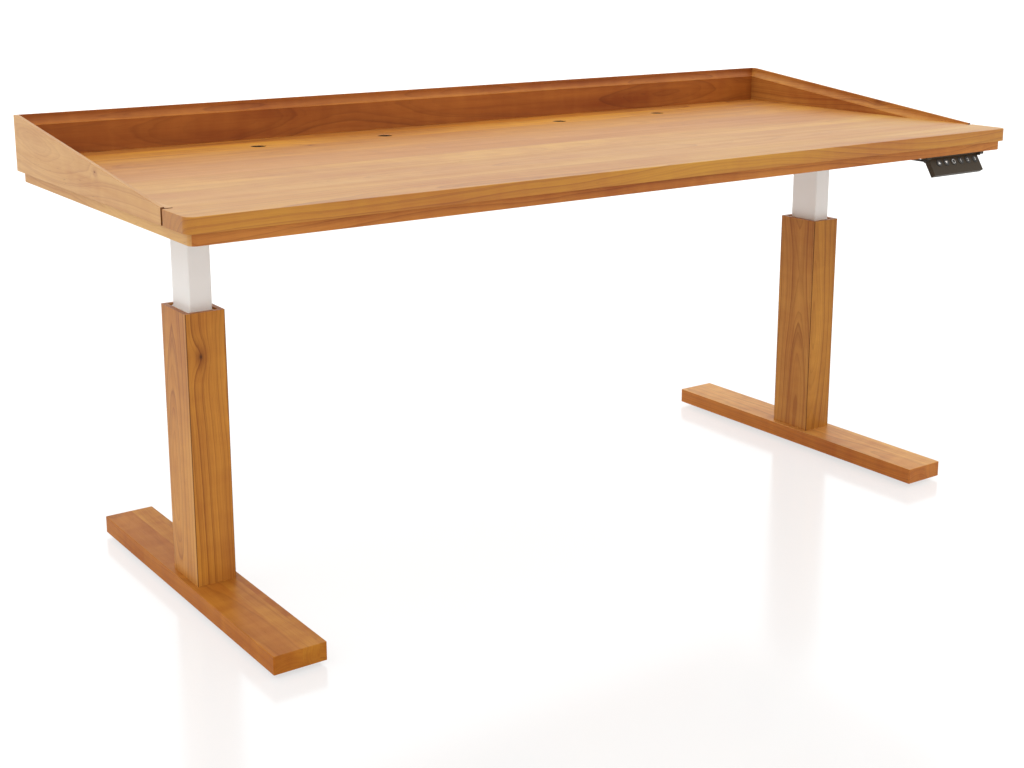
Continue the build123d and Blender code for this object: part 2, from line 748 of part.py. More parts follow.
lip_y = -half_depth + handset_front_gap
cover_bottom = rail_bottom - handset_cover_thick
face_top_z = cover_bottom - handset_wall
face_bottom_z = face_top_z - handset_face * cos(radians(handset_tilt))
face_top_y = lip_y + handset_face * sin(radians(handset_tilt))
face_middle = (handset_x, (lip_y + face_top_y) / 2, (face_bottom_z + face_top_z) / 2)
face_normal = (0, -cos(radians(handset_tilt)), sin(radians(handset_tilt)))
face_plane = Plane(face_middle, x_dir=(1, 0, 0), z_dir=face_normal)
first_button_x = button_first - handset_length / 2
button_spots = [(first_button_x + step * button_pitch, button_rise) for step in range(button_count)]
end_plane = Plane((handset_left, 0, 0), x_dir=(0, 1, 0), z_dir=(1, 0, 0))
flange_back = handset_wall + button_fit + button_flange_thick
board_depth = flange_back + button_travel + board_thick
board_post_spots = [(x + button_pitch / 2, y) for x, y in button_spots[:-1:2]]

# The housing is a slim slab behind its face. Its lead leaves through a boss moulded on its back.
slab_depth = board_depth + board_thick + board_gap + handset_wall
slab_lean = sin(radians(handset_tilt)) / cos(radians(handset_tilt))
slab_low_y = lip_y + slab_depth * cos(radians(handset_tilt))
slab_low_z = face_bottom_z - slab_depth * sin(radians(handset_tilt))
slab_high_y = slab_low_y + (cover_bottom - slab_low_z) * slab_lean
handset_lead_x = column_x - bracket_width / 2 - handset_lead_gap
handset_port_z = rail_bottom - handset_lead_height
relief_middle_y = slab_low_y + (handset_port_z - slab_low_z) * slab_lean
relief_front_y = relief_middle_y - strain_relief_dia / 2 * slab_lean
relief_back_y = relief_middle_y + strain_relief_length

with BuildPart() as handset_housing:
    with BuildSketch(end_plane):
        with BuildLine():
            Polyline(
                (face_top_y, cover_bottom),
                (face_top_y, face_top_z),
                (lip_y, face_bottom_z),
                (slab_low_y, slab_low_z),
                (slab_high_y, cover_bottom),
                close=True,
            )
        make_face()
    extrude(amount=handset_length)
    housing_top = handset_housing.faces().sort_by(Axis.Z)[-1]
    offset(amount=-handset_wall, openings=housing_top)
    outer_edges = handset_housing.faces().sort_by(Axis.X)[0].edges()
    outer_edges += handset_housing.faces().sort_by(Axis.X)[-1].edges()
    outer_edges += handset_housing.edges().filter_by(lambda edge: edge.length > handset_length - arris)
    fillet(outer_edges.filter_by(lambda edge: edge.center().Z < cover_bottom - arris), arris)
    with BuildSketch(face_plane):
        with Locations(*button_spots):
            Circle(button_dia / 2 + button_hole_gap)
    extrude(amount=-handset_wall - button_hole_gap, mode=Mode.SUBTRACT)
    with BuildSketch(face_plane.offset(-handset_wall / 2)):
        with Locations(*board_post_spots):
            Circle(board_post_dia / 2)
    extrude(amount=handset_wall / 2 - board_depth)
    with BuildSketch(Plane((handset_lead_x, relief_back_y, handset_port_z), z_dir=(0, -1, 0))):
        Circle(strain_relief_dia / 2)
    extrude(amount=relief_back_y - relief_front_y)
save(handset_housing, "handset_housing")

with BuildPart() as handset_cover:
    with BuildSketch(Plane.XY.offset(cover_bottom)):
        with Locations((handset_x, (face_top_y + handset_back_y) / 2)):
            Rectangle(handset_length, handset_back_y - face_top_y)
    extrude(amount=handset_cover_thick)
    with BuildSketch(Plane.XY.offset(rail_bottom)):
        with Locations(*ear_spots):
            Rectangle(handset_ear_length, handset_ear_depth)
    extrude(amount=-handset_ear_thick)
    with BuildSketch(Plane.XY.offset(rail_bottom)):
        with Locations(*ear_spots):
            Circle(pilot_radius)
    extrude(amount=-handset_ear_thick, mode=Mode.SUBTRACT)
save(handset_cover, "handset_cover")

# The buttons stand on the circuit board's switches when they are pressed home.
with BuildPart() as handset_board:
    with BuildSketch(face_plane.offset(-board_depth)):
        with Locations((0, button_rise)):
            Rectangle(board_length, board_height)
    extrude(amount=-board_thick)
save(handset_board, "handset_board")

for number, button_spot in enumerate(button_spots, start=1):
    with BuildPart() as button:
        with BuildSketch(face_plane.offset(button_proud)):
            with Locations(button_spot):
                Circle(button_dia / 2)
        extrude(amount=-button_proud - flange_back)
        with BuildSketch(face_plane.offset(-flange_back)):
            with Locations(button_spot):
                Circle(button_dia / 2 + button_flange)
        extrude(amount=button_flange_thick)
        with BuildSketch(face_plane.offset(-flange_back)):
            with Locations(button_spot):
                Circle(button_stem_dia / 2)
        extrude(amount=-(board_depth - flange_back - button_travel - button_fit))
    save(button, f"button_{number}")

# ---------------------------------------------------------------- leads, clips and screws

lead_z = underside - lead_drop
port_x = box_length / 2
motor_ramp_x = column_x - bracket_width
box_ramp_x = port_x + lead_tail + lead_ramp

with BuildPart() as motor_leads:
    for side in (-1, 1):
        with BuildLine() as motor_route:
            FilletPolyline(
                (side * column_x, motor_back, motor_axis_z),
                (side * column_x, lead_row, motor_axis_z),
                (side * motor_ramp_x, lead_row, motor_axis_z),
                (side * (motor_ramp_x - motor_lead_ramp), lead_row, lead_z),
                (side * box_ramp_x, lead_row, lead_z),
                (side * (port_x + lead_tail), lead_row, port_z),
                (side * port_x, lead_row, port_z),
                radius=lead_bend,
            )
        with BuildSketch(Plane(motor_route.line @ 0, z_dir=(0, 1, 0))):
            Circle(lead_dia / 2)
        sweep(path=motor_route.line)
save(motor_leads, "motor_leads")

handset_ramp_y = -rail_inner_y + lead_tail
handset_row = box_front + handset_lead_row
with BuildPart() as handset_lead:
    with BuildLine() as handset_route:
        FilletPolyline(
            (handset_lead_x, relief_back_y, handset_port_z),
            (handset_lead_x, handset_ramp_y, handset_port_z),
            (handset_lead_x, handset_ramp_y + handset_lead_ramp, lead_z),
            (handset_lead_x, handset_row, lead_z),
            (box_ramp_x, handset_row, lead_z),
            (port_x + lead_tail, handset_row, port_z),
            (port_x, handset_row, port_z),
            radius=lead_bend,
        )
    with BuildSketch(Plane(handset_route.line @ 0, z_dir=(0, 1, 0))):
        Circle(lead_dia / 2)
    sweep(path=handset_route.line)
save(handset_lead, "handset_lead")

across_clips = [(side * share * column_x, lead_row) for side in (-1, 1) for share in motor_clip_shares]
across_clips += [(share * column_x, handset_row) for share in handset_clip_shares]
along_clips = [(handset_lead_x, column_y + y) for y in (-handset_clip_front, handset_clip_back)]
clip_drop = lead_drop + lead_dia / 2 + clip_wall
with BuildPart() as lead_clips:
    for clip_spots, size, direction in (
        (across_clips, (clip_length, clip_width), (1, 0, 0)),
        (along_clips, (clip_width, clip_length), (0, 1, 0)),
    ):
        with BuildSketch(Plane.XY.offset(underside)):
            with Locations(*clip_spots):
                Rectangle(*size)
        extrude(amount=-clip_drop)
        for x, y in clip_spots:
            with BuildSketch(Plane((x, y, lead_z), z_dir=direction)):
                Circle(lead_dia / 2 + thread_fit)
            extrude(amount=clip_width, both=True, mode=Mode.SUBTRACT)
save(lead_clips, "lead_clips")

with BuildPart() as wood_screws:
    for screw_spots, head_z, hole_depth in (
        (bracket_screw_spots, bracket_plate, bracket_thick + wood_screw_length),
        (box_screw_spots, box_lid_bottom, box_wall + wood_screw_length),
        (ear_spots, rail_bottom - handset_ear_thick, handset_ear_thick + rail_screw_length),
    ):
        with BuildSketch(Plane.XY.offset(head_z)):
            with Locations(*screw_spots):
                Circle(wood_screw_head_dia / 2)
        extrude(amount=-wood_screw_head)
        with BuildSketch(Plane.XY.offset(head_z)):
            with Locations(*screw_spots):
                Circle(wood_screw_dia / 2)
        extrude(amount=hole_depth - wood_screw_tip_gap)
save(wood_screws, "wood_screws")

counterbore_roof = foot_lift + bolt_counterbore
with BuildPart() as foot_bolts:
    with BuildSketch(Plane.XY.offset(counterbore_roof)):
        with Locations(*bolt_spots[-1], *bolt_spots[1]):
            Circle(bolt_head_dia / 2)
    extrude(amount=-bolt_head)
    with BuildSketch(Plane.XY.offset(counterbore_roof)):
        with Locations(*bolt_spots[-1], *bolt_spots[1]):
            Circle(bolt_dia / 2)
    extrude(amount=plate_top - bolt_end_gap - counterbore_roof)
save(foot_bolts, "foot_bolts")
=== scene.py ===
"""A height adjustable standing desk: a cherry top with a low gallery, on two columns in timber posts."""
import math

import bmesh
import bpy
from mathutils import Matrix, Vector


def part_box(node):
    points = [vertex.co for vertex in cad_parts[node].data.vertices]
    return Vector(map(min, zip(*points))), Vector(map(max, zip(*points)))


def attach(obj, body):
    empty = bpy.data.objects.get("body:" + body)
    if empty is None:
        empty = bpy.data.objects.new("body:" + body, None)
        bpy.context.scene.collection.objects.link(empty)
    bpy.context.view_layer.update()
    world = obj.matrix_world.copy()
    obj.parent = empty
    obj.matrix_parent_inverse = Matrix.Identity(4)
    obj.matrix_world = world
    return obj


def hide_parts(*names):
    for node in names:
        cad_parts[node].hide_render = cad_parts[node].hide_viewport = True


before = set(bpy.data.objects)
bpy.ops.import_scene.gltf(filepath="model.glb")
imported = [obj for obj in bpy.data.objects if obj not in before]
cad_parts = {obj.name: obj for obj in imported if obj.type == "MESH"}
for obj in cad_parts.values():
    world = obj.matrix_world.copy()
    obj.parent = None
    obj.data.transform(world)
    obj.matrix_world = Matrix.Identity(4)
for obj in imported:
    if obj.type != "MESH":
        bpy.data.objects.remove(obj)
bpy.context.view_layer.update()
scene = bpy.context.scene

# ---------------------------------------------------------------- camera
# A normal lens at a seated person's eye height, from the desk's front left. The shift takes some of the
# lean out of the uprights, and every other view keeps it.
camera_data = bpy.data.cameras.new("camera")
camera_data.lens = 52.9
camera_data.shift_y = -0.1
camera_data.clip_end = 200.0
camera = bpy.data.objects.new("camera", camera_data)
look_down = 0.2212  # radians below level
turn_right = 0.6143  # radians from straight on
camera.location = (-1.7422, -2.3505, 1.1335)
camera.rotation_euler = (math.radians(90.0) - look_down, 0.0, -turn_right)
scene.collection.objects.link(camera)
scene.camera = camera
scene.view_settings.view_transform = "Standard"


# ---------------------------------------------------------------- studio
# A glossy white floor that burns out, under an even white sky, with one soft key from the left.
# From below, the floor can be looked through, so that the underside shows too.
def adder(tree):
    """Gives a function that adds a node to the tree, sets or links its inputs and returns an output."""

    def add(kind, inputs=(), out=0, **settings):
        node = tree.nodes.new(kind)
        for name, value in settings.items():
            setattr(node, name, value)
        pairs = inputs.items() if isinstance(inputs, dict) else enumerate(inputs)
        for key, value in pairs:
            if isinstance(value, bpy.types.NodeSocket):
                tree.links.new(value, node.inputs[key])
            elif value is not None:
                node.inputs[key].default_value = value
        return node.outputs[out]

    return add


def new_material(name, **constants):
    """Makes a material whose Principled shader has these constants, and gives its shader and its adder."""
    made = bpy.data.materials.new(name)
    made.use_nodes = True
    shader = made.node_tree.nodes["Principled BSDF"]
    for key, value in constants.items():
        shader.inputs[key.replace("_", " ")].default_value = value
    return made, shader, adder(made.node_tree)


def new_object(name, points, faces, material):
    """Makes a mesh object from its points and faces, in metres in the frame, and links it to the scene."""
    mesh = bpy.data.meshes.new(name)
    mesh.from_pydata(points, [], faces)
    mesh.materials.append(material)
    made = bpy.data.objects.new(name, mesh)
    scene.collection.objects.link(made)
    return made


floor_material, floor_shader, add = new_material(
    "pale_floor", Roughness=0.16, IOR=1.6, Emission_Strength=0.66)
looked_at = add("ShaderNodeLightPath")
mottle = add("ShaderNodeTexNoise", {"Scale": 0.6, "Detail": 2.0})
paint = add("ShaderNodeMapRange", {"Value": mottle, "To Min": 0.86, "To Max": 0.88})
paint = add("ShaderNodeMix", {0: looked_at, 2: paint, 3: 0.26})
links = floor_material.node_tree.links
links.new(add("ShaderNodeCombineColor", [paint, paint, paint]), floor_shader.inputs["Base Color"])
links.new(add("ShaderNodeCombineColor", [looked_at] * 3), floor_shader.inputs["Emission Color"])
turned_away = add("ShaderNodeNewGeometry").node.outputs["Backfacing"]
underneath = add("ShaderNodeMath", [looked_at, turned_away], operation="MULTIPLY")
links.new(add("ShaderNodeMath", [1.0, underneath], operation="SUBTRACT"), floor_shader.inputs["Alpha"])
reach = 60.0
floor_corners = [(-reach, -reach, 0), (reach, -reach, 0), (reach, reach, 0), (-reach, reach, 0)]
floor = new_object("floor", floor_corners, [(0, 1, 2, 3)], floor_material)

world = bpy.data.worlds.new("studio")
scene.world = world
world.use_nodes = True
add = adder(world.node_tree)
height = add("ShaderNodeSeparateXYZ", [add("ShaderNodeTexCoord")], out=2)
glow = add("ShaderNodeMapRange", {
    "Value": height, "From Min": 0.0, "From Max": 1.0, "To Min": 1.08, "To Max": 1.2})
strength = add("ShaderNodeMix", {0: add("ShaderNodeLightPath"), 2: glow, 3: 1.1})
background = world.node_tree.nodes["Background"]
background.inputs["Color"].default_value = (1.0, 0.995, 0.985, 1.0)
world.node_tree.links.new(strength, background.inputs["Strength"])

sun_data = bpy.data.lights.new("key", "SUN")
sun_data.energy = 0.35
sun_data.angle = math.radians(50.0)
sun = bpy.data.objects.new("key", sun_data)
sun.rotation_mode = "QUATERNION"
sun.rotation_quaternion = Vector((0.8, -0.1, -0.8)).to_track_quat("-Z", "Y")
scene.collection.objects.link(sun)


# ---------------------------------------------------------------- feet
# Two solid cherry blocks, one across the end of each leg, with sharp corners and an oiled finish.
# The wood's rings, streaks, fibres, gum flecks and knots run right through a block or board.
def new_group(name, inputs, outputs):
    """Makes a shader node group with these sockets, and gives it with its adder and its two end nodes."""
    group = bpy.data.node_groups.new(name, "ShaderNodeTree")
    for label, kind in inputs:
        group.interface.new_socket(label, in_out="INPUT", socket_type=f"NodeSocket{kind}")
    for label, kind in outputs:
        group.interface.new_socket(label, in_out="OUTPUT", socket_type=f"NodeSocket{kind}")
    start = group.nodes.new("NodeGroupInput")
    end = group.nodes.new("NodeGroupOutput")
    return group, adder(group), start.outputs, end.inputs


def rgb(red, green, blue):
    """A colour in the scene's linear values from its screen values of 0 to 255."""
    shares = (red, green, blue)
    linear = (c / 255 / 12.92 if c <= 10 else ((c / 255 + 0.055) / 1.055) ** 2.4 for c in shares)
    return tuple(linear) + (1.0,)


cherry, add, given, wanted = new_group(
    "cherry_grain",
    [("Grain", "Vector"), ("Log", "Float"), ("Pith", "Vector"), ("Light", "Color"), ("Deep", "Color"),
     ("Ring", "Color"), ("Side", "Color"), ("End", "Color"), ("End Share", "Float"), ("Figure", "Float"),
     ("Curl", "Float"), ("Knot", "Vector"), ("Knot Size", "Float"), ("Mitre", "Float")],
    [("Color", "Color"), ("Roughness", "Float"), ("Normal", "Vector")],
)


def calc(operation, a, b=None, clamp=False):
    """One step of arithmetic in the group that is being built."""
    return add("ShaderNodeMath", [a, b], operation=operation, use_clamp=clamp)


def swing(source, amount):
    """A noise value turned into a signed swing of this size."""
    return calc("MULTIPLY", calc("SUBTRACT", source, 0.5), amount)


def tinted(share, under, over, **settings):
    """One colour laid over another by a share."""
    return add("ShaderNodeMix", {0: share, 6: under, 7: over}, out=2, data_type="RGBA", **settings)


along, across, depth = add("ShaderNodeSeparateXYZ", [given["Grain"]]).node.outputs
_, pith_across, pith_depth = add("ShaderNodeSeparateXYZ", [given["Pith"]]).node.outputs
log_shift = calc("MULTIPLY", given["Log"], 17.31)


def stretched(long_scale, cross_scale, detail, roughness=0.5, offset=0.0):
    """Noise that runs with the grain: so many features per metre along it and across it."""
    where = add("ShaderNodeCombineXYZ", [
        calc("ADD", calc("MULTIPLY", along, long_scale), calc("ADD", log_shift, offset)),
        calc("MULTIPLY", across, cross_scale),
        calc("MULTIPLY", depth, cross_scale),
    ])
    return add("ShaderNodeTexNoise", {
        "Vector": where, "Scale": 1.0, "Detail": detail, "Roughness": roughness})


# The pith wanders along the log, and the rings bend round a knot.
wander_across = swing(stretched(1.3, 1.2, 1.0), 0.09)
off_across = calc("ADD", calc("SUBTRACT", across, pith_across), wander_across)
wander_depth = swing(stretched(1.2, 1.0, 1.0, offset=41.0), 0.15)
off_depth = calc("ADD", calc("SUBTRACT", depth, pith_depth), wander_depth)
jitter = swing(stretched(6.0, 30.0, 2.0, offset=7.0), 0.007)
knot_gap = add("ShaderNodeVectorMath", [given["Grain"], given["Knot"]], operation="SUBTRACT")
knot_gap = add("ShaderNodeVectorMath", [knot_gap, (0.55, 1.0, 0.6)], operation="MULTIPLY")
knot_away = add("ShaderNodeVectorMath", [knot_gap], out=1, operation="LENGTH")
knot_far = calc("DIVIDE", knot_away, calc("MAXIMUM", given["Knot Size"], 0.0001))
knot_far = calc("ADD", knot_far, swing(stretched(60.0, 160.0, 2.0, offset=5.0), 0.9))
bend_fall = calc("POWER", calc("MULTIPLY", knot_far, 0.2), 2.0)
knot_bend = calc("EXPONENT", calc("MULTIPLY", bend_fall, -1.0))
halo_fall = calc("POWER", calc("MULTIPLY", knot_far, 0.33), 2.0)
knot_halo = calc("EXPONENT", calc("MULTIPLY", halo_fall, -1.0))
knot_heart = calc("EXPONENT", calc("MULTIPLY", calc("POWER", knot_far, 2.0), -1.6))
squares = calc("ADD", calc("MULTIPLY", off_across, off_across), calc("MULTIPLY", off_depth, off_depth))
knot_push = calc("MULTIPLY", knot_bend, calc("MULTIPLY", given["Knot Size"], 4.2))
radius = calc("ADD", calc("ADD", calc("SQRT", squares), jitter), knot_push)


def rings(spacing, offset, stops):
    """Growth rings this far apart, each darkening outwards to its late wood, some years more than others."""
    count = calc("ADD", calc("DIVIDE", radius, spacing), offset)
    ramp = add("ShaderNodeValToRGB", [calc("FRACT", count)]).node
    ramp.color_ramp.interpolation = "EASE"
    elements = ramp.color_ramp.elements
    for place, grey in stops[2:]:
        elements.new(place).color = (grey, grey, grey, 1.0)
    for element, (place, grey) in zip((elements[0], elements[len(elements) - 1]), stops[:2]):
        element.position = place
        element.color = (grey, grey, grey, 1.0)
    which_year = calc("ADD", calc("FLOOR", count), log_shift)
    year = add("ShaderNodeTexWhiteNoise", {"W": which_year}, noise_dimensions="1D")
    return calc("MULTIPLY", ramp.outputs["Color"], calc("ADD", calc("MULTIPLY", year, 0.75), 0.25))


narrow_years = 0.0046  # metres from ring to ring
wide_years = 0.0118
late_wood = rings(narrow_years, 0.0, [(0.0, 0.10), (1.0, 0.10), (0.5, 0.12), (0.80, 0.5), (0.93, 1.0)])
growth = rings(wide_years, 0.3, [(0.0, 0.0), (1.0, 0.0), (0.5, 0.08), (0.84, 0.5), (0.93, 1.0)])
streak = stretched(1.2, 46.0, 4.0, 0.6)
patch = stretched(2.0, 8.0, 2.0, offset=23.0)
curl = stretched(34.0, 13.0, 2.0, offset=61.0)
fibre = stretched(14.0, 800.0, 2.0)
pore = stretched(42.0, 1500.0, 1.0, offset=19.0)
speck = stretched(38.0, 560.0, 1.0, offset=3.0)
speck_field = stretched(3.0, 26.0, 1.0, offset=91.0)

tone = calc("ADD", swing(streak, 1.5), swing(patch, 2.0))
tone = calc("ADD", calc("ADD", tone, swing(curl, given["Curl"])), 0.45, clamp=True)
base = tinted(tone, given["Light"], given["Deep"])
ring_share = calc("ADD", calc("MULTIPLY", late_wood, 0.40), calc("MULTIPLY", growth, 0.58))
ring_share = calc("MULTIPLY", ring_share, given["Figure"])
ring_share = calc("MULTIPLY", ring_share, calc("ADD", patch, 0.35), clamp=True)
base = tinted(ring_share, base, given["Ring"])
fibre_share = calc("MULTIPLY", calc("SUBTRACT", fibre, 0.35), 0.30)
pore_share = calc("MULTIPLY", calc("SUBTRACT", pore, 0.55), 0.35)
fine = calc("ADD", fibre_share, pore_share, clamp=True)
fine = calc("ADD", fine, calc("MULTIPLY", knot_halo, 0.55), clamp=True)
base = tinted(fine, base, given["Ring"])
gum_field = calc("MULTIPLY", calc("SUBTRACT", speck_field, 0.5), 4.0, clamp=True)
gum = calc("MULTIPLY", calc("GREATER_THAN", speck, 0.74), gum_field)
seam = calc("GREATER_THAN", calc("ABSOLUTE", across), given["Mitre"])
marks = calc("MAXIMUM", calc("MULTIPLY", gum, 0.6), calc("MULTIPLY", knot_heart, 0.9))
marks = calc("MAXIMUM", marks, calc("MULTIPLY", seam, 0.72), clamp=True)
# Painted shade: the side colour multiplies the upright faces, so they come out darker than the tops, where
# less light falls on them.
upward = add("ShaderNodeSeparateXYZ", [add("ShaderNodeTexCoord", out=1)], out=2)
sideways = calc("SUBTRACT", 1.0, calc("ABSOLUTE", upward), clamp=True)
base = tinted(sideways, base, given["Side"], blend_type="MULTIPLY")
base = tinted(given["End Share"], base, given["End"], blend_type="MULTIPLY")
gum_brown = (0.06, 0.02, 0.007, 1.0)
base = tinted(marks, base, gum_brown)
rough = calc("ADD", calc("MULTIPLY", fibre, 0.14), calc("MULTIPLY", streak, 0.12))
rough = calc("ADD", calc("ADD", rough, 0.26), calc("MULTIPLY", marks, 0.2))
hollows = calc("ADD", calc("MULTIPLY", pore, -0.4), calc("MULTIPLY", late_wood, -0.3))
relief = calc("ADD", calc("MULTIPLY", fibre, -0.5), hollows)
relief = calc("SUBTRACT", relief, calc("MULTIPLY", marks, 1.2))
cherry.links.new(base, wanted["Color"])
cherry.links.new(rough, wanted["Roughness"])
raised = add("ShaderNodeBump", {"Strength": 0.3, "Distance": 0.00025, "Height": relief})
cherry.links.new(raised, wanted["Normal"])


def grain_of(add, order, centre):
    """The piece's own place as (along the grain, across it, through it), from a centre in the frame."""
    here = add("ShaderNodeTexCoord", out=3)
    parts = add("ShaderNodeSeparateXYZ", [here]).node.outputs
    axes = ["XYZ".index(axis) for axis in order]
    moved = [add("ShaderNodeMath", [parts[axis], centre[axis]], operation="SUBTRACT") for axis in axes]
    return add("ShaderNodeCombineXYZ", moved)


untinted = (1.0, 1.0, 1.0, 1.0)
darker_end = (0.86, 0.8, 0.76, 1.0)
off_the_board = 9.0  # metres: a knot or a mitre this far off never shows
no_knot = (off_the_board, off_the_board, off_the_board)
no_knot_size = 0.0001


def wood(name, order, centre, log, pith, light, deep, ring, side=untinted, end=darker_end, figure=1.0,
         curl=0.6, knot=no_knot, knot_size=no_knot_size, mitre=off_the_board, shine=0.2):
    """Makes one board's cherry: how its grain runs, the log it is from, its tones, the painted shade on its
    upright faces, its knot and its shine.
    """
    made, shader, add = new_material(name, Specular_IOR_Level=shine)
    facing = add("ShaderNodeSeparateXYZ", [add("ShaderNodeTexCoord", out=1)], out="XYZ".index(order[0]))
    end_share = add("ShaderNodeMath", [facing], operation="ABSOLUTE")
    inputs = {"Grain": grain_of(add, order, centre), "Log": log, "Pith": pith, "Light": light, "Deep": deep,
              "Ring": ring, "Side": side, "End": end, "End Share": end_share, "Figure": figure, "Curl": curl,
              "Knot": knot, "Knot Size": knot_size, "Mitre": mitre}
    group = made.node_tree.nodes.new("ShaderNodeGroup")
    group.node_tree = cherry
    for key, value in inputs.items():
        if isinstance(value, bpy.types.NodeSocket):
            made.node_tree.links.new(value, group.inputs[key])
        else:
            group.inputs[key].default_value = value
    for key, socket in (("Color", "Base Color"), ("Roughness", "Roughness"), ("Normal", "Normal")):
        made.node_tree.links.new(group.outputs[key], shader.inputs[socket])
    return made


def dress(node, made):
    """Puts a material on a CAD node in every one of its slots."""
    target = bpy.data.objects[node]
    if not target.data.materials:
        target.data.materials.append(made)
    for slot in target.material_slots:
        slot.link = "OBJECT"
        slot.material = made


def middle(node):
    """The middle of a node's box at rest."""
    low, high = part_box(node)
    return tuple((a + b) / 2 for a, b in zip(low, high))


def from_screen(tones):
    """A board's light, deep and ring tones in the scene's linear values."""
    return {key: rgb(*tone) for key, tone in tones.items()}


def staves(made, low, high, edges, logs, tones, figures, piths):
    """Splits a glued-up block across its grain into staves, each with its own log, tone and heart."""
    tree = made.node_tree
    add = adder(tree)
    group = next(node for node in tree.nodes if node.type == "GROUP")
    grain = group.inputs["Grain"].links[0].from_socket
    place_across = add("ShaderNodeSeparateXYZ", [grain], out=1)
    share = add("ShaderNodeMapRange", {"Value": place_across, "From Min": low, "From Max": high})
    found = {}
    for key, values in (
        ("Log", [(v, v, v) for v in logs]),
        ("Light", tones),
        ("Figure", [(v, v, v) for v in figures]),
        ("Pith", [(0.0, place, 0.5 + through) for place, through in piths]),
    ):
        ramp = add("ShaderNodeValToRGB", [share]).node
        ramp.color_ramp.interpolation = "CONSTANT"
        elements = ramp.color_ramp.elements
        for place, value in list(zip(edges, values))[2:]:
            elements.new(place).color = (*value[:3], 1.0)
        for element, place, value in zip(elements, edges, values):
            element.position = place
            element.color = (*value[:3], 1.0)
        found[key] = ramp.outputs["Color"]
    widen, shift = (1.0, high - low, 1.0), (0.0, low, -0.5)
    heart = add("ShaderNodeVectorMath", [found["Pith"], widen, shift], operation="MULTIPLY_ADD")
    for key in ("Log", "Light", "Figure"):
        tree.links.new(found[key], group.inputs[key])
    tree.links.new(heart, group.inputs["Pith"])
    return made


foot_staves = [rgb(188, 124, 48), rgb(194, 134, 52), rgb(200, 142, 54)]
pale_staves = [rgb(226, 166, 86), rgb(230, 172, 90), rgb(232, 176, 90)]
stave_edges = (0.0, 0.54, 0.86)  # shares of a foot's width
stave_piths = ((0.2, -0.06), (1.0, 0.0), (0.7, -0.07))
stave_figures = (0.75, 0.6, 0.6)
# Painted shade: left_side and right_side darken and redden the feet's upright faces against their tops, where
# less light falls on them.
left_side, left_end = (0.97, 0.82, 0.32, 1.0), (0.96, 1.0, 1.7, 1.0)
right_side = (0.70, 0.47, 0.25, 1.0)
for side, logs, tones, deep, tint, end, shine in (
    ("left", (0.65, 0.33, 0.87), foot_staves, (166, 98, 34), left_side, left_end, 0.12),
    ("right", (0.21, 0.44, 0.09), pale_staves, (206, 140, 68), right_side, untinted, 0.3),
):
    node = f"{side}_foot"
    low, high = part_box(node)
    half_foot = (high[0] - low[0]) / 2
    block = wood(f"{node}_cherry", "YXZ", middle(node), 0.0, (0.0, 0.0, 0.0), light=tones[0], deep=rgb(*deep),
                 ring=rgb(112, 52, 20), side=tint, end=end, curl=1.4, shine=shine)
    dress(node, staves(block, -half_foot, half_foot, stave_edges, logs, tones, stave_figures, stave_piths))


# ---------------------------------------------------------------- levelling feet
# Black moulded glides on zinc studs, screwed into brass inserts in the feet's undersides.
def finished(name, colour, rough, grain_scale, tint_spread, bump_depth, **constants):
    """A finish whose tone, roughness and relief vary finely over the piece."""
    made, shader, add = new_material(name, **constants)
    here = add("ShaderNodeTexCoord", out=3)
    fine = add("ShaderNodeTexNoise", {"Vector": here, "Scale": grain_scale, "Detail": 3.0})
    wide = add("ShaderNodeTexNoise", {"Vector": here, "Scale": grain_scale / 40, "Detail": 2.0})
    dark = tuple(c * (1 - tint_spread) for c in colour[:3]) + (1.0,)
    tone = add("ShaderNodeMix", {0: wide, 6: dark, 7: colour}, out=2, data_type="RGBA")
    links = made.node_tree.links
    links.new(tone, shader.inputs["Base Color"])
    patchy = add("ShaderNodeMapRange", {"Value": fine, "To Min": rough - 0.06, "To Max": rough + 0.06})
    links.new(patchy, shader.inputs["Roughness"])
    relief = add("ShaderNodeBump", {"Strength": 0.4, "Distance": bump_depth, "Height": fine})
    links.new(relief, shader.inputs["Normal"])
    return made


leveler_black = finished("leveler_black", rgb(34, 33, 32), 0.5, 800.0, 0.15, 0.00008)
brass = finished("brass", rgb(196, 158, 84), 0.3, 900.0, 0.12, 0.00002, Metallic=1.0)
for side in ("left", "right"):
    for row in ("front", "back"):
        dress(f"{side}_{row}_leveler", leveler_black)
dress("leveler_inserts", brass)

